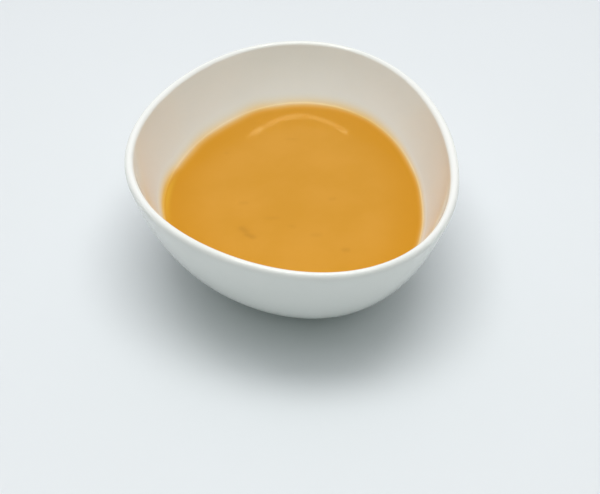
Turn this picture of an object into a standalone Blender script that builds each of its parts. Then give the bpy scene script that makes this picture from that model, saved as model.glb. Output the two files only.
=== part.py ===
"""A bowl of lobster bisque.

The bowl is white porcelain, thrown round and then pressed off round: seen from above it is a
rounded triangle drawn out from front to back, and its lip stands a little higher at the front.
A thick, smooth soup fills it to about half its height.

Metres, +Z up, +Y away from the viewer. The origin is on the ground, under the middle of the
bowl's outline.
"""

import math

import bpy
import numpy

COLLECTION = "lobster_bisque_bowl"

# The bowl as thrown, a round shape turned about its own axis
RIM_HEIGHT = 0.0568  # the lip's crest above the ground
RIM_RADIUS = 0.0782  # the outer face where the lip starts
WALL = 0.004
FOOT_RADIUS = 0.036
FOOT_HEIGHT = 0.002  # ground to the start of the belly
FOOT_WIDTH = 0.0045
FOOT_BEVEL = 0.0005
RECESS_HEIGHT = 0.0016  # ground to the underside inside the foot ring
BELLY_REACH = 0.0207  # how strongly the belly runs out flat from the foot
RIM_REACH = 0.0222  # how strongly the wall runs straight up to the lip
RIM_LEAN = math.radians(75)  # the wall's slope at the lip, measured from level

# How it was pressed off round: each wave of the outline as (waves in a turn, share of the
# radius, direction of its crest). The first draws it out, the second makes three corners.
OUTLINE = (
    (2, 0.091, math.radians(94)),
    (3, 0.0345, math.radians(71)),
    (4, 0.007, math.radians(14)),
    (5, 0.0045, math.radians(8)),
)
SLANT = 0.003  # how far the lip rises on its high side and falls on the other
HIGH_SIDE = math.radians(240)
SLANT_GROWTH = 1.5  # the slant fades towards the foot with this power of the height
LIP_SHARE = 0.95  # the lip's thickness, as a share of the wall's, where it isn't drawn out
THINNING_GROWTH = 3  # the wall nears that thickness with this power of the height

# The soup
SOUP_LEVEL = 0.028
SOUP_GAP = 0.0003  # between the soup and the bowl
AIR_SIZE = 0.3  # of the block that cuts the soup off at its level

# How finely the round shapes are divided
TURN_STEPS = 90
WALL_STEPS = 14
LIP_STEPS = 6
CREASE = math.radians(35)
ON_AXIS = 0.00005  # a point closer to the axis than this lies on it

GLAZE = (0.85, 0.86, 0.83)
BISQUE = (0.60, 0.29, 0.03)


def clear_scene():
    for thing in list(bpy.data.objects):
        bpy.data.objects.remove(thing, do_unlink=True)


def new_collection(name):
    made = bpy.data.collections.new(name)
    bpy.context.scene.collection.children.link(made)
    return made


def material(name, colour, roughness):
    made = bpy.data.materials.new(name)
    made.use_nodes = True
    shader = made.node_tree.nodes["Principled BSDF"]
    shader.inputs["Base Color"].default_value = (*colour, 1.0)
    shader.inputs["Roughness"].default_value = roughness
    shader.inputs["Metallic"].default_value = 0.0
    return made


def outer_face():
    """(radius, height, slope) along the outer face, from the foot up to the lip."""
    lean_x, lean_z = math.cos(RIM_LEAN), math.sin(RIM_LEAN)
    lip_start = RIM_HEIGHT - WALL / 2 - WALL / 2 * lean_x
    ends = (FOOT_RADIUS, FOOT_HEIGHT), (RIM_RADIUS, lip_start)
    pulls = (
        (FOOT_RADIUS + BELLY_REACH, FOOT_HEIGHT),
        (RIM_RADIUS - RIM_REACH * lean_x, lip_start - RIM_REACH * lean_z),
    )
    curve = (ends[0], pulls[0], pulls[1], ends[1])
    face = []
    for step in range(WALL_STEPS + 1):
        t = step / WALL_STEPS
        place = [bezier([point[axis] for point in curve], t) for axis in (0, 1)]
        heading = [bezier_speed([point[axis] for point in curve], t) for axis in (0, 1)]
        face.append((*place, math.atan2(heading[1], heading[0])))
    return face


def bezier(values, t):
    a, b, c, d = values
    s = 1 - t
    return s**3 * a + 3 * s * s * t * b + 3 * s * t * t * c + t**3 * d


def bezier_speed(values, t):
    a, b, c, d = values
    s = 1 - t
    return 3 * s * s * (b - a) + 6 * s * t * (c - b) + 3 * t * t * (d - c)


def set_in(face, distance):
    """The face moved this far into the bowl, square to itself."""
    return [
        (radius - distance * math.sin(slope), height + distance * math.cos(slope))
        for radius, height, slope in face
    ]


def lip(face):
    """The half round between the inner face and the outer face, without its ends."""
    middle_radius, middle_height = set_in(face, WALL / 2)[-1]
    slope = face[-1][2]
    points = []
    for step in range(1, LIP_STEPS):
        angle = slope + math.pi / 2 - math.pi * step / LIP_STEPS
        points.append(
            (
                middle_radius + WALL / 2 * math.cos(angle),
                middle_height + WALL / 2 * math.sin(angle),
            )
        )
    return points


def foot():
    """The foot ring and the underside, from the start of the belly in to the axis."""
    outer, inner = FOOT_RADIUS, FOOT_RADIUS - FOOT_WIDTH
    return [
        (outer, FOOT_BEVEL),
        (outer - FOOT_BEVEL, 0.0),
        (inner + FOOT_BEVEL, 0.0),
        (inner, FOOT_BEVEL),
        (inner - FOOT_BEVEL, RECESS_HEIGHT),
        (0.0, RECESS_HEIGHT),
    ]


def bowl_profile():
    """From the middle of the inside, up to the lip, down the outside and back under."""
    face = outer_face()
    inside = set_in(face, WALL)
    outside = [(radius, height) for radius, height, _ in reversed(face)]
    return [(0.0, inside[0][1])] + inside + lip(face) + outside + foot()


def soup_profile():
    """What would fill the bowl to its lip: from the middle of the top, out and down inside it."""
    inside = set_in(outer_face(), WALL + SOUP_GAP)
    return [(0.0, inside[-1][1])] + inside[::-1] + [(0.0, inside[0][1])]


def outline(angle):
    """The radius in this direction, as a share of the thrown radius."""
    return 1 + sum(size * math.cos(waves * (angle - crest)) for waves, size, crest in OUTLINE)


def pressed(angle, radius, height):
    """(reach, height) of a thrown point once the bowl is pressed off round. The wall thins
    towards the lip where it is drawn out, and thickens where it is pushed in."""
    share = max(height / RIM_HEIGHT, 0.0)
    rise = SLANT * share**SLANT_GROWTH * math.cos(angle - HIGH_SIDE)
    drawn = outline(angle)
    inward = min(max(middle_radius(height) - radius, -WALL / 2), WALL / 2)
    thinning = inward * (drawn - LIP_SHARE / drawn) * min(share, 1.0) ** THINNING_GROWTH
    return radius * drawn + thinning, height + rise


def middle_radius(height):
    """The thrown radius halfway through the wall, at this height."""
    radii, heights = zip(*set_in(outer_face(), WALL / 2))
    return float(numpy.interp(height, heights, radii))


def outline_middle():
    """The middle of the outline's box, seen from the axis that the bowl was thrown on."""
    radius, height, _ = outer_face()[-1]
    turn = [2 * math.pi * step / TURN_STEPS for step in range(TURN_STEPS)]
    reaches = [pressed(angle, radius, height)[0] for angle in turn]
    across = [reach * math.cos(angle) for reach, angle in zip(reaches, turn)]
    along = [reach * math.sin(angle) for reach, angle in zip(reaches, turn)]
    return (max(across) + min(across)) / 2, (max(along) + min(along)) / 2


def press_off_round(mesh):
    """Moves each point of a turned mesh out to the outline, and up or down with the slant."""
    for vertex in mesh.vertices:
        x, y, z = vertex.co
        radius = math.hypot(x, y)
        if radius > ON_AXIS:
            reach, height = pressed(math.atan2(y, x), radius, z)
            vertex.co = (x * reach / radius, y * reach / radius, height)


def turned(name, profile, collection):
    """The profile, given from top to bottom, turned about Z and pressed off round."""
    thrown = bpy.data.meshes.new(name + "_profile")
    edges = [(step, step + 1) for step in range(len(profile) - 1)]
    thrown.from_pydata([(radius, 0.0, height) for radius, height in profile], edges, [])
    piece = bpy.data.objects.new(name, thrown)
    collection.objects.link(piece)
    screw = piece.modifiers.new("turn", "SCREW")
    screw.axis = "Z"
    screw.steps = screw.render_steps = TURN_STEPS
    screw.use_merge_vertices = True
    screw.merge_threshold = ON_AXIS
    evaluated = piece.evaluated_get(bpy.context.evaluated_depsgraph_get())
    body = bpy.data.meshes.new_from_object(evaluated)
    body.name = name
    piece.modifiers.clear()
    piece.data = body
    bpy.data.meshes.remove(thrown)
    press_off_round(body)
    middle_x, middle_y = outline_middle()
    piece.location = (-middle_x, -middle_y, 0.0)
    return piece


def shade(piece):
    piece.data.shade_smooth()
    piece.data.set_sharp_from_angle(angle=CREASE)


def block_of_air(collection):
    """The space above the soup's level, wider than the bowl."""
    bpy.ops.mesh.primitive_cube_add(size=AIR_SIZE)
    block = bpy.context.object
    block.name = "air_above_soup"
    for owner in list(block.users_collection):
        owner.objects.unlink(block)
    collection.objects.link(block)
    block.location.z = SOUP_LEVEL + AIR_SIZE / 2
    block.hide_render = True
    block.display_type = "WIRE"
    return block


def make_bowl(collection):
    piece = turned("bowl", bowl_profile(), collection)
    shade(piece)
    piece.data.materials.append(material("white_glaze", GLAZE, 0.15))
    return piece


def make_soup(collection, cutters):
    piece = turned("soup", soup_profile(), collection)
    shade(piece)
    piece.data.materials.append(material("bisque", BISQUE, 0.3))
    level = piece.modifiers.new("level", "BOOLEAN")
    level.operation = "DIFFERENCE"
    level.solver = "EXACT"
    level.object = block_of_air(cutters)
    return piece


def main():
    clear_scene()
    pieces = new_collection(COLLECTION)
    cutters = new_collection(COLLECTION + "_cutters")
    make_bowl(pieces)
    make_soup(pieces, cutters)


main()
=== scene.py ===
"""The looks of a bowl of lobster bisque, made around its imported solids.

The bowl and the soup are built again from the named sizes of the solids, but finely divided. The
bowl gets its gloss glaze, with a bare foot ring. The soup gets its level top, the edge where it
turns up the wall, the film that it left higher up on the left, and the few flecks that float in
it.

Metres, +Z up, +Y away from the viewer. The origin is on the ground, under the middle of the
bowl's outline.
"""

import math
from bisect import bisect_right
from functools import cache

import bpy
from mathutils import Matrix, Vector, noise


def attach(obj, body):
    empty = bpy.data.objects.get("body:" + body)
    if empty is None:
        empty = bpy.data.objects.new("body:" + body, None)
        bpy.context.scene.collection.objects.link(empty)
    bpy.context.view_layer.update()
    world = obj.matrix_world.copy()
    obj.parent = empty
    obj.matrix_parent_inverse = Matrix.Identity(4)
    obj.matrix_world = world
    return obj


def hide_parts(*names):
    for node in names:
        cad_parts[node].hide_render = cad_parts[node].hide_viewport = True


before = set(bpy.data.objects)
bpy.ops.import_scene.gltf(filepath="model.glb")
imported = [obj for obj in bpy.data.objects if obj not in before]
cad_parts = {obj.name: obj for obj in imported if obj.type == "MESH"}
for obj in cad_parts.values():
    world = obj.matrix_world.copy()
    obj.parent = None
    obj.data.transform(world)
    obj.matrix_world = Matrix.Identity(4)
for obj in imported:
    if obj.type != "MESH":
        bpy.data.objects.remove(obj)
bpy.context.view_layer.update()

# The bowl as thrown, a round shape turned about its own axis
RIM_HEIGHT = 0.0568  # the lip's crest above the ground
RIM_RADIUS = 0.0782  # the outer face where the lip starts
WALL = 0.004
FOOT_RADIUS = 0.036
FOOT_HEIGHT = 0.002  # ground to the start of the belly
FOOT_WIDTH = 0.0045
FOOT_BEVEL = 0.0005
RECESS_HEIGHT = 0.0016  # ground to the underside inside the foot ring
BELLY_REACH = 0.0207  # how strongly the belly runs out flat from the foot
RIM_REACH = 0.0222  # how strongly the wall runs straight up to the lip
RIM_LEAN = math.radians(75)  # the wall's slope at the lip, measured from level

# How it was pressed off round: each wave of the outline as (waves in a turn, share of the
# radius, direction of its crest). The first draws it out, the second makes three corners.
OUTLINE = (
    (2, 0.091, math.radians(94)),
    (3, 0.0345, math.radians(71)),
    (4, 0.007, math.radians(14)),
    (5, 0.0045, math.radians(8)),
)
SLANT = 0.003  # how far the lip rises on its high side and falls on the other
HIGH_SIDE = math.radians(240)
SLANT_GROWTH = 1.5  # the slant fades towards the foot with this power of the height
LIP_SHARE = 0.95  # the lip's thickness, as a share of the wall's, where it isn't drawn out
THINNING_GROWTH = 3  # the wall nears that thickness with this power of the height

# The soup
SOUP_LEVEL = 0.028
INTO_WALL = 0.00015  # how far the soup's hidden skin lies inside the bowl's wall
MENISCUS_REACH = 0.0018  # the level top starts to turn up this far from its film
MENISCUS_RISE = 0.0006
FILM_THICKNESS = 0.00012  # of the soup left on the wall, at the soup's level
FILM_START, FILM_WHOLE = -0.0005, 0.001  # how far up the wall the soup turns to a film

# The soup's edge: the line where it hides half of the wall's white. It lies this far up the wall
# from the level line, and where it is negative, on the level top this far from the wall.
EDGE = -0.0001
WOBBLES = ((0.0002, 14, 1.3), (0.0001, 45, 7.7))  # (height, waves in a turn, seed)
HUMPS = (  # (direction, reach to either side, height)
    (math.radians(122), math.radians(65), -0.0013),
    (math.radians(63), math.radians(20), 0.0005),
    (math.radians(107), math.radians(12), 0.0011),
    (math.radians(138), math.radians(12), 0.0008),
    (0.0, math.radians(60), 0.0003),
)
# The smear on the left wall, from a tilt of the bowl: it starts steeply and ends gently. The level
# top is shallow beside it, and grows paler between these lengths from the wall.
SMEAR_START, SMEAR_CREST, SMEAR_END = math.radians(158), math.radians(176), math.radians(215)
SMEAR = 0.0022
SHALLOW_START, SHALLOW_WHOLE = -0.0036, -0.001
# The soup thins out over this length below its edge, most at the back left, and over a little
# more above it.
FRINGE = 0.0029
WIDE_FRINGE = 0.0061
WIDEST_AT, WIDE_REACH = math.radians(110), math.radians(110)
FRINGE_ABOVE = 1.15
FRINGE_FALL = 2.2  # the cover falls off with this power of the length

# Flecks in the soup: (x, y, length, width, direction, how much they show)
FLECKS = (
    (-0.0208, -0.0232, 0.0060, 0.0032, math.radians(-50), 0.65),
    (-0.0182, -0.0268, 0.0060, 0.0030, math.radians(-35), 0.65),
    (-0.0213, -0.0050, 0.0044, 0.0024, 0.0, 0.25),
    (-0.0087, -0.0152, 0.0070, 0.0026, 0.0, 0.25),
    (0.0003, -0.0208, 0.0036, 0.0022, math.radians(-27), 0.2),
    (0.0105, -0.0264, 0.0054, 0.0028, 0.0, 0.25),
    (0.0181, -0.0023, 0.0038, 0.0026, math.radians(20), 0.25),
    (0.0233, -0.0361, 0.0040, 0.0028, 0.0, 0.45),
    (-0.0001, 0.0413, 0.0060, 0.0018, 0.0, 0.2),
    (-0.0305, 0.0307, 0.0024, 0.0018, 0.0, 0.2),
)
FLECK_RELIEF = 0.00003

PAINTED_SHADE_REACH = 0.026  # painted shade: the soup's colour darkens and deepens over this distance to the wall, where the wall shades it

# How finely the round shapes are divided
TURN_STEPS = 360
WALL_STEPS = 60
LIP_STEPS = 16
MIDDLE_RINGS = (0.33, 0.66)  # of the bowl's flat middles, as shares of their radius
SOUP_RINGS = 150
MENISCUS_RINGS = 10
FILM_RINGS = 24
HIDDEN_RINGS = 24
HIDDEN_CROWDING = 1.5  # the hidden rings crowd towards the bottom with this power
CREASE = math.radians(35)

# Colours, as light and not as screen values
GLAZE = (0.85, 0.865, 0.835, 1.0)
GLAZE_THICK = (0.83, 0.85, 0.82, 1.0)
GLAZE_UNDER_FILM = (0.826, 0.843, 0.806, 1.0)  # the film mirrors less, which makes up for this
BARE_CLAY = (0.78, 0.74, 0.67, 1.0)
BISQUE = (0.584, 0.276, 0.028, 1.0)
BISQUE_CREAM = (0.612, 0.293, 0.036, 1.0)
# painted shade: the soup's darker, deeper colour beside the wall, where the wall shades it
BISQUE_PAINTED_SHADE = (0.557, 0.248, 0.014, 1.0)
BISQUE_SHALLOW = (0.63, 0.34, 0.026, 1.0)
FLECK = (0.47, 0.215, 0.024, 1.0)
FAT_SHEEN = (1.0, 0.68, 0.05, 1.0)  # the orange fat on top colours what the soup mirrors
THINNING = (  # the colour of soup that hides this share of the wall's white
    (0.0, GLAZE_UNDER_FILM),
    (0.3, (0.71, 0.555, 0.36, 1.0)),
    (0.62, (0.64, 0.385, 0.12, 1.0)),
    (0.9, (0.592, 0.28, 0.030, 1.0)),
)
THINNING_FILM = (  # the same for a film on the wall, which lets more light through
    (0.0, GLAZE_UNDER_FILM),
    (0.3, (0.88, 0.73, 0.46, 1.0)),
    (0.62, (0.88, 0.60, 0.19, 1.0)),
    (0.9, (0.86, 0.50, 0.058, 1.0)),
)
FLOOR = (0.74, 0.78, 0.805, 1.0)
FLOOR_WORN = (0.735, 0.775, 0.795, 1.0)

# Soft patches in the materials, as (size in metres, the noise where they start and are whole)
GLAZE_POOLS = (0.03, 0.35, 0.65)
GLAZE_POLISH = (0.012, 0.3, 0.7)
GLAZE_RIPPLE = (0.006, 0.0, 1.0)
CREAM_CLOUDS = (0.022, 0.35, 0.65)
SOUP_POLISH = (0.015, 0.3, 0.7)
SOUP_SWELL = (0.009, 0.0, 1.0)
FLOOR_WEAR = (0.12, 0.3, 0.7)
CLOUD_DETAIL = 3.0

# Roughness, and how strongly the surfaces mirror and how deep their ripples are
GLAZE_GLOSS = (0.05, 0.08)
BARE_ROUGHNESS = 0.7
GLAZED_FROM, GLAZED_WHOLE = 0.0002, 0.0006  # the foot ring is bare below this height
SOUP_GLOSS = (0.06, 0.10)
SOUP_IOR = 1.3
SHEEN_LEVEL = 0.7
FLOOR_ROUGHNESS = 0.6
RIPPLE_STRENGTH = 0.1
GLAZE_RIPPLE_DEPTH = 0.0002
SOUP_SWELL_DEPTH = 0.0003

# The photograph's camera
CAMERA_PLACE = (0.003614, -0.479620, 0.432626)
CAMERA_DOWN = math.radians(42.25)
LENS, SENSOR = 84.0, 36.0

# The studio
FLOOR_SIZE = 12.0
WARM, WHITE = (1.0, 0.93, 0.76), (1.0, 1.0, 1.0)
LAMPS = (  # above the bowl: (name, place, length, width, power, colour)
    ("strip", (0.0, 0.04, 1.1), 0.80, 0.09, 4.2, WARM),
    ("strip_left_end", (-0.38, 0.02, 1.09), 0.08, 0.12, 0.65, WARM),
    ("strip_right_end", (0.39, 0.02, 1.09), 0.10, 0.12, 0.85, WARM),
    ("diffuser", (0.0, 0.04, 1.1), 0.90, 0.40, 4.9, WHITE),
    ("soft_box", (0.0, 0.0, 1.3), 1.0, 1.0, 4.1, WHITE),
)
# The strip and its ends are only seen mirrored, and the diffuser spreads their light softly.
MIRRORED_ONLY = ("strip", "strip_left_end", "strip_right_end")
NEVER_MIRRORED = ("diffuser",)
SKY_LOW = (0.24, 0.275, 0.25, 1.0)
SKY_HIGH = (0.73, 0.705, 0.72, 1.0)
SKY_TOP = (0.0, 0.6, 0.8)  # where the sky is brightest, high up behind the bowl
SKY_RANGE = (-0.1, 0.95)  # the cosine to there over which it brightens


def bezier(values, t):
    a, b, c, d = values
    s = 1 - t
    return s**3 * a + 3 * s * s * t * b + 3 * s * t * t * c + t**3 * d


def bezier_speed(values, t):
    a, b, c, d = values
    s = 1 - t
    return 3 * s * s * (b - a) + 6 * s * t * (c - b) + 3 * t * t * (d - c)


def outer_face():
    """(radius, height, slope) along the thrown bowl's outer face, from the foot up to the lip."""
    lean_x, lean_z = math.cos(RIM_LEAN), math.sin(RIM_LEAN)
    lip_start = RIM_HEIGHT - WALL / 2 - WALL / 2 * lean_x
    curve = (
        (FOOT_RADIUS, FOOT_HEIGHT),
        (FOOT_RADIUS + BELLY_REACH, FOOT_HEIGHT),
        (RIM_RADIUS - RIM_REACH * lean_x, lip_start - RIM_REACH * lean_z),
        (RIM_RADIUS, lip_start),
    )
    radii, heights = zip(*curve)
    face = []
    for step in range(WALL_STEPS + 1):
        t = step / WALL_STEPS
        slope = math.atan2(bezier_speed(heights, t), bezier_speed(radii, t))
        face.append((bezier(radii, t), bezier(heights, t), slope))
    return face


def set_in(face, distance):
    """The face moved this far into the bowl, square to itself."""
    return [
        (radius - distance * math.sin(slope), height + distance * math.cos(slope))
        for radius, height, slope in face
    ]


def lip(face):
    """The half round between the inner face and the outer face, without its ends."""
    middle_radius, middle_height = set_in(face, WALL / 2)[-1]
    slope = face[-1][2]
    points = []
    for step in range(1, LIP_STEPS):
        angle = slope + math.pi / 2 - math.pi * step / LIP_STEPS
        radius = middle_radius + WALL / 2 * math.cos(angle)
        points.append((radius, middle_height + WALL / 2 * math.sin(angle)))
    return points


def foot():
    """The foot ring and the underside, from the start of the belly in towards the axis."""
    outer, inner = FOOT_RADIUS, FOOT_RADIUS - FOOT_WIDTH
    return [
        (outer, FOOT_BEVEL),
        (outer - FOOT_BEVEL, 0.0),
        (inner + FOOT_BEVEL, 0.0),
        (inner, FOOT_BEVEL),
        (inner - FOOT_BEVEL, RECESS_HEIGHT),
    ]


def outline(angle):
    """The radius in this direction, as a share of the thrown radius."""
    return 1 + sum(size * math.cos(waves * (angle - crest)) for waves, size, crest in OUTLINE)


def outline_middle():
    """The middle of the outline's box, seen from the axis that the bowl was thrown on."""
    radius, height, _ = outer_face()[-1]
    reaches = [(pressed(angle, radius, height)[0], angle) for angle in turn()]
    across = [reach * math.cos(angle) for reach, angle in reaches]
    along = [reach * math.sin(angle) for reach, angle in reaches]
    return (max(across) + min(across)) / 2, (max(along) + min(along)) / 2


def turn():
    return [2 * math.pi * step / TURN_STEPS for step in range(TURN_STEPS)]


def pressed(angle, radius, height):
    """(reach, height) of a thrown point once the bowl is pressed off round. The wall thins
    towards the lip where it is drawn out, and thickens where it is pushed in."""
    share = max(height / RIM_HEIGHT, 0.0)
    rise = SLANT * share**SLANT_GROWTH * math.cos(angle - HIGH_SIDE)
    drawn = outline(angle)
    inward = min(max(middle_radius(height) - radius, -WALL / 2), WALL / 2)
    thinning = inward * (drawn - LIP_SHARE / drawn) * min(share, 1.0) ** THINNING_GROWTH
    return radius * drawn + thinning, height + rise


@cache
def middle_radius(height):
    """The thrown radius halfway through the wall, at this height."""
    radii, heights = zip(*set_in(outer_face(), WALL / 2))
    return between(heights, radii, min(max(height, heights[0]), heights[-1]))


def around(rings, middle):
    """The rings' (reach, height) pairs, one for each direction, as points about the axis."""
    x, y = middle
    return [
        [
            Vector((reach * math.cos(angle) - x, reach * math.sin(angle) - y, height))
            for angle, (reach, height) in zip(turn(), ring)
        ]
        for ring in rings
    ]


def skin(name, rings):
    """A closed mesh over rings of points, from the middle of the top to the middle below."""
    top = sum(rings[0], Vector()) / TURN_STEPS
    bottom = sum(rings[-1], Vector()) / TURN_STEPS
    points = [top] + [point for ring in rings for point in ring] + [bottom]
    faces = []
    for step in range(TURN_STEPS):
        after = (step + 1) % TURN_STEPS
        faces.append((0, 1 + step, 1 + after))
        for ring in range(len(rings) - 1):
            inner = 1 + ring * TURN_STEPS
            outer = inner + TURN_STEPS
            faces.append((inner + step, outer + step, outer + after, inner + after))
        last = 1 + (len(rings) - 1) * TURN_STEPS
        faces.append((last + after, last + step, len(points) - 1))
    mesh = bpy.data.meshes.new(name)
    mesh.from_pydata(points, [], faces)
    mesh.validate()
    mesh.shade_smooth()
    mesh.set_sharp_from_angle(angle=CREASE)
    piece = bpy.data.objects.new(name, mesh)
    bpy.context.scene.collection.objects.link(piece)
    return piece


def make_bowl(middle):
    face = outer_face()
    inside = set_in(face, WALL)[1:]
    outside = [(radius, height) for radius, height, _ in reversed(face)]
    floor_radius, floor_height = inside[0]
    core = [(floor_radius * share, floor_height) for share in MIDDLE_RINGS]
    recess = FOOT_RADIUS - FOOT_WIDTH
    under = [(recess * share, RECESS_HEIGHT) for share in reversed(MIDDLE_RINGS)]
    profile = core + inside + lip(face) + outside + foot() + under
    rings = [[pressed(angle, *point) for angle in turn()] for point in profile]
    return skin("bowl_glazed", around(rings, middle))


def between(keys, values, key):
    """The value at this key, on straight lines between the given ones."""
    after = min(max(bisect_right(keys, key), 1), len(keys) - 1)
    before = after - 1
    share = (key - keys[before]) / (keys[after] - keys[before])
    return values[before] + (values[after] - values[before]) * share


def inner_wall(angle, distance):
    """Rising heights and their reaches, along the inner face moved in by this distance."""
    points = [pressed(angle, *point) for point in set_in(outer_face(), distance)]
    return [height for _, height in points], [reach for reach, _ in points]


def lengths_up(heights, reaches):
    """How far along the wall each of its points lies from the soup's level, negative below."""
    lengths = [0.0]
    for step in range(1, len(heights)):
        rise, run = heights[step] - heights[step - 1], reaches[step] - reaches[step - 1]
        lengths.append(lengths[-1] + math.hypot(rise, run))
    at_level = between(heights, lengths, SOUP_LEVEL)
    return [length - at_level for length in lengths]


def wobble(angle, waves, seed):
    """A smooth random value, about -1 to 1, with this many waves in a turn."""
    reach = waves / (2 * math.pi)
    return 2 * noise.noise(Vector((reach * math.cos(angle), reach * math.sin(angle), seed)))


def bump(angle, middle, width):
    """A smooth hump, 1 at the middle direction and 0 this far to either side of it."""
    away = abs((angle - middle + math.pi) % (2 * math.pi) - math.pi)
    return 0.5 + 0.5 * math.cos(math.pi * min(away / width, 1))


def smear_share(angle):
    """How much of the smear's full height stands in this direction."""
    if SMEAR_START < angle <= SMEAR_CREST:
        return math.sin(math.pi / 2 * (angle - SMEAR_START) / (SMEAR_CREST - SMEAR_START))
    if SMEAR_CREST < angle < SMEAR_END:
        return 0.5 + 0.5 * math.cos(math.pi * (angle - SMEAR_CREST) / (SMEAR_END - SMEAR_CREST))
    return 0.0


def edge(angle):
    """How far up the wall the soup's edge lies, in this direction."""
    humps = sum(height * bump(angle, middle, reach) for middle, reach, height in HUMPS)
    uneven = sum(height * wobble(angle, waves, seed) for height, waves, seed in WOBBLES)
    return EDGE + SMEAR * smear_share(angle) + humps + uneven


def fringe(angle):
    """The length over which the soup thins out to either side of its edge."""
    return FRINGE + (WIDE_FRINGE - FRINGE) * bump(angle, WIDEST_AT, WIDE_REACH)


def ease(share):
    """0 to 1, level at both ends."""
    share = min(max(share, 0.0), 1.0)
    return share * share * (3 - 2 * share)


def cover(angle, length):
    """How much of the wall's white the soup hides, this far up the wall from its level."""
    above = length - edge(angle)
    reach = fringe(angle) * (FRINGE_ABOVE if above > 0 else 1)
    fall = 1 - (1 - min(abs(above) / reach, 1)) ** FRINGE_FALL
    return 0.5 - math.copysign(fall / 2, above)


def film_share(length):
    """How much the soup is a film this far up the wall: not at all on its level."""
    return ease((length - FILM_START) / (FILM_WHOLE - FILM_START))


def shallow_share(angle, length):
    """How shallow the soup is this far up the wall: it thins out beside its smear."""
    return smear_share(angle) * ease((length - SHALLOW_START) / (SHALLOW_WHOLE - SHALLOW_START))


def soup_rings():
    """The soup's rings of (reach, height), and four values there: how well it covers the white,
    how much it is a film, how shallow it is, and how near the wall it is, for painted shade."""
    kinds = zip(*[soup_column(angle) for angle in turn()])
    return [list(zip(*columns)) for columns in kinds]


def soup_column(angle):
    heights, reaches = inner_wall(angle, WALL)
    lengths = lengths_up(heights, reaches)
    shore = between(heights, reaches, SOUP_LEVEL)
    end = edge(angle) + fringe(angle) * FRINGE_ABOVE
    film = film_up_wall(heights, reaches, lengths, end)
    column = level_top(shore - FILM_THICKNESS - MENISCUS_REACH)
    column += meniscus(column[-1], (shore - FILM_THICKNESS, SOUP_LEVEL), film[0])
    column += film[1:]
    covers, films, shallows = [], [], []
    for reach, height in column:
        length = between(heights, lengths, height) + min(reach + FILM_THICKNESS - shore, 0.0)
        covers.append(cover(angle, length))
        films.append(film_share(length))
        shallows.append(shallow_share(angle, length))
    # painted shade: how much the soup is darkened towards the wall beside it
    wall_shade = [ease(1 - (shore - reach) / PAINTED_SHADE_REACH) for reach, _ in column]
    buried = under_the_wall(angle, column[-1][1])
    hidden = [0.0] * len(buried)
    values = [shown + hidden for shown in (covers, films, shallows, wall_shade)]
    return column + buried, *values


def level_top(reach):
    return [(reach * (ring + 1) / SOUP_RINGS, SOUP_LEVEL) for ring in range(SOUP_RINGS)]


def meniscus(start, corner, end):
    """The points of a curve that leaves start towards the corner and comes from it to end."""
    points = []
    for ring in range(1, MENISCUS_RINGS + 1):
        t = ring / MENISCUS_RINGS
        a, b, c = (1 - t) ** 2, 2 * t * (1 - t), t * t
        points.append(tuple(a * start[i] + b * corner[i] + c * end[i] for i in (0, 1)))
    return points


def film_up_wall(heights, reaches, lengths, end):
    """The points of the thin film on the wall, from the meniscus up to where it runs out."""
    start = between(heights, lengths, SOUP_LEVEL + MENISCUS_RISE)
    points = []
    for ring in range(FILM_RINGS + 1):
        share = ring / FILM_RINGS
        length = start + (end - start) * share
        reach = between(lengths, reaches, length) - FILM_THICKNESS * (1 - share)
        points.append((reach, between(lengths, heights, length)))
    return points


def under_the_wall(angle, highest):
    """The soup's hidden skin, from this height down and in to the middle."""
    heights, reaches = inner_wall(angle, WALL - INTO_WALL)
    lowest = heights[0]
    points = []
    for ring in range(HIDDEN_RINGS):
        height = lowest + (highest - lowest) * (1 - ring / HIDDEN_RINGS) ** HIDDEN_CROWDING
        points.append((between(heights, reaches, height), height))
    return points + [(reaches[0] / 2, lowest)]


def fleck_share(point):
    """How much of a fleck shows at this point of the soup's top."""
    shown = 0.0
    for x, y, length, width, direction, strength in FLECKS:
        across, along = point.x - x, point.y - y
        u = across * math.cos(direction) + along * math.sin(direction)
        v = along * math.cos(direction) - across * math.sin(direction)
        shown = max(shown, strength * math.exp(-((2 * u / length) ** 4) - (2 * v / width) ** 2))
    return shown


def give_values(mesh, name, rings):
    """Gives a skin's points a named value each, and its two middles that of the ring around."""
    layer = mesh.attributes.new(name, "FLOAT", "POINT")
    values = [value for ring in rings for value in ring]
    layer.data.foreach_set("value", [rings[0][0], *values, rings[-1][0]])


def make_soup(middle):
    rings, covers, films, shallows, wall_shade = soup_rings()
    spun = around(rings, middle)
    flecks = [[0.0] * TURN_STEPS for _ in spun]
    for ring in range(SOUP_RINGS):
        for step, point in enumerate(spun[ring]):
            flecks[ring][step] = fleck_share(point)
            point.z += FLECK_RELIEF * flecks[ring][step]
    piece = skin("bisque_poured", spun)
    give_values(piece.data, "cover", covers)
    give_values(piece.data, "film", films)
    give_values(piece.data, "shallow", shallows)
    give_values(piece.data, "painted_shade_near_wall", wall_shade)
    give_values(piece.data, "fleck", flecks)
    return piece


def new_material(name):
    """A material, its node tree and its shader."""
    made = bpy.data.materials.new(name)
    made.use_nodes = True
    return made, made.node_tree, made.node_tree.nodes["Principled BSDF"]


def node(tree, kind, inputs=None, **settings):
    made = tree.nodes.new("ShaderNode" + kind)
    for name, value in settings.items():
        setattr(made, name, value)
    for name, value in (inputs or {}).items():
        if isinstance(value, bpy.types.NodeSocket):
            tree.links.new(value, made.inputs[name])
        else:
            made.inputs[name].default_value = value
    return made


def mix(tree, share, low, high):
    """The colour between two, where each is a colour or a socket."""
    made = node(tree, "Mix", {"Factor": share}, data_type="RGBA")
    first, second = made.inputs[6], made.inputs[7]  # those for colours have no names of their own
    for socket, given in ((first, low), (second, high)):
        if isinstance(given, bpy.types.NodeSocket):
            tree.links.new(given, socket)
        else:
            socket.default_value = given
    return made.outputs[2]


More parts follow.
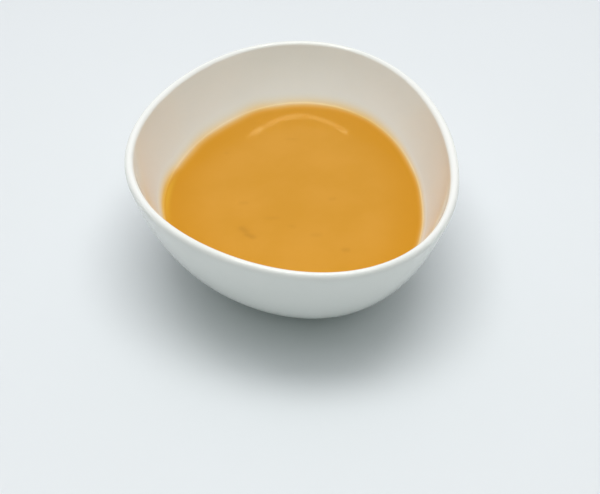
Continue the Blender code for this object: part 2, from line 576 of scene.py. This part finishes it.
def clouds(tree, size, low, high):
    """0 to 1 in soft patches of about this size, in metres."""
    place = node(tree, "TexCoord").outputs["Object"]
    made = node(tree, "TexNoise", {"Vector": place, "Scale": 1 / size, "Detail": CLOUD_DETAIL})
    return spread(tree, made.outputs["Fac"], (low, high), (0.0, 1.0))


def spread(tree, value, source, target):
    """The value's range from source stretched to target, and held there."""
    limits = {"Value": value, "From Min": source[0], "From Max": source[1]}
    limits |= {"To Min": target[0], "To Max": target[1]}
    return node(tree, "MapRange", limits).outputs["Result"]


def given_value(tree, name):
    """The value that the mesh's points were given under this name."""
    return node(tree, "Attribute", attribute_name=name).outputs["Fac"]


def relief(tree, shader, patches, depth):
    """Gives the surface faint ripples of this depth."""
    bumps = {"Height": clouds(tree, *patches), "Strength": RIPPLE_STRENGTH, "Distance": depth}
    tree.links.new(node(tree, "Bump", bumps).outputs["Normal"], shader.inputs["Normal"])


def ramp(tree, value, stops):
    """The colour at this value, between stops of (value, colour)."""
    made = node(tree, "ValToRGB", {"Fac": value})
    elements = made.color_ramp.elements
    while len(elements) < len(stops):
        elements.new(1.0)
    for element, (place, colour) in zip(elements, stops):
        element.position, element.color = place, colour
    return made.outputs["Color"]


def glaze_material():
    made, tree, shader = new_material("white_glaze")
    glaze = mix(tree, clouds(tree, *GLAZE_POOLS), GLAZE, GLAZE_THICK)
    height = node(tree, "SeparateXYZ", {"Vector": node(tree, "TexCoord").outputs["Object"]})
    glazed = spread(tree, height.outputs["Z"], (GLAZED_FROM, GLAZED_WHOLE), (0.0, 1.0))
    tree.links.new(mix(tree, glazed, BARE_CLAY, glaze), shader.inputs["Base Color"])
    gloss = spread(tree, clouds(tree, *GLAZE_POLISH), (0.0, 1.0), GLAZE_GLOSS)
    rough = node(tree, "Mix", {"Factor": glazed, "A": BARE_ROUGHNESS, "B": gloss})
    tree.links.new(rough.outputs["Result"], shader.inputs["Roughness"])
    relief(tree, shader, GLAZE_RIPPLE, GLAZE_RIPPLE_DEPTH)
    return made


def bisque_material():
    made, tree, shader = new_material("bisque")
    soup = mix(tree, clouds(tree, *CREAM_CLOUDS), BISQUE, BISQUE_CREAM)
    # painted shade: the soup darker and deeper towards the wall
    soup = mix(tree, given_value(tree, "painted_shade_near_wall"), soup, BISQUE_PAINTED_SHADE)
    soup = mix(tree, given_value(tree, "shallow"), soup, BISQUE_SHALLOW)
    soup = mix(tree, given_value(tree, "fleck"), soup, FLECK)
    covers = given_value(tree, "cover")
    whole = spread(tree, covers, (THINNING[-1][0], 1.0), (0.0, 1.0))
    soup = mix(tree, whole, ramp(tree, covers, THINNING), soup)
    soup = mix(tree, given_value(tree, "film"), soup, ramp(tree, covers, THINNING_FILM))
    tree.links.new(soup, shader.inputs["Base Color"])
    gloss = spread(tree, clouds(tree, *SOUP_POLISH), (0.0, 1.0), SOUP_GLOSS)
    tree.links.new(gloss, shader.inputs["Roughness"])
    shader.inputs["IOR"].default_value = SOUP_IOR
    shader.inputs["Specular IOR Level"].default_value = SHEEN_LEVEL
    shader.inputs["Specular Tint"].default_value = FAT_SHEEN
    relief(tree, shader, SOUP_SWELL, SOUP_SWELL_DEPTH)
    return made


def floor_material():
    made, tree, shader = new_material("floor")
    colour = mix(tree, clouds(tree, *FLOOR_WEAR), FLOOR, FLOOR_WORN)
    tree.links.new(colour, shader.inputs["Base Color"])
    shader.inputs["Roughness"].default_value = FLOOR_ROUGHNESS
    return made


def dress(piece, material, stands_for):
    piece.data.materials.append(material)
    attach(piece, "root")
    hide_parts(stands_for)


def make_floor():
    half = FLOOR_SIZE / 2
    mesh = bpy.data.meshes.new("floor")
    corners = [(-half, -half, 0), (half, -half, 0), (half, half, 0), (-half, half, 0)]
    mesh.from_pydata(corners, [], [(0, 1, 2, 3)])
    mesh.materials.append(floor_material())
    floor = bpy.data.objects.new("floor", mesh)
    bpy.context.scene.collection.objects.link(floor)


def make_camera():
    data = bpy.data.cameras.new("camera")
    data.lens, data.sensor_width = LENS, SENSOR
    camera = bpy.data.objects.new("camera", data)
    camera.location = CAMERA_PLACE
    camera.rotation_euler = (math.pi / 2 - CAMERA_DOWN, 0.0, 0.0)
    bpy.context.scene.collection.objects.link(camera)
    bpy.context.scene.camera = camera


def make_lamps():
    for name, place, length, width, power, colour in LAMPS:
        data = bpy.data.lights.new(name, "AREA")
        data.shape = "RECTANGLE"
        data.size, data.size_y = length, width
        data.energy, data.color = power, colour
        lamp = bpy.data.objects.new(name, data)
        lamp.location = place
        lamp.visible_diffuse = name not in MIRRORED_ONLY
        lamp.visible_glossy = name not in NEVER_MIRRORED
        bpy.context.scene.collection.objects.link(lamp)


def make_sky():
    world = bpy.data.worlds.new("studio")
    world.use_nodes = True
    tree = world.node_tree
    heading = node(tree, "TexCoord").outputs["Generated"]
    facing = node(tree, "VectorMath", operation="DOT_PRODUCT")
    tree.links.new(heading, facing.inputs[0])
    facing.inputs[1].default_value = SKY_TOP
    share = spread(tree, facing.outputs["Value"], SKY_RANGE, (0.0, 1.0))
    tree.links.new(mix(tree, share, SKY_LOW, SKY_HIGH), tree.nodes["Background"].inputs["Color"])
    bpy.context.scene.world = world
    bpy.context.scene.view_settings.view_transform = "Standard"


make_camera()
make_lamps()
make_sky()
make_floor()
MIDDLE = outline_middle()
dress(make_bowl(MIDDLE), glaze_material(), "bowl")
dress(make_soup(MIDDLE), bisque_material(), "soup")
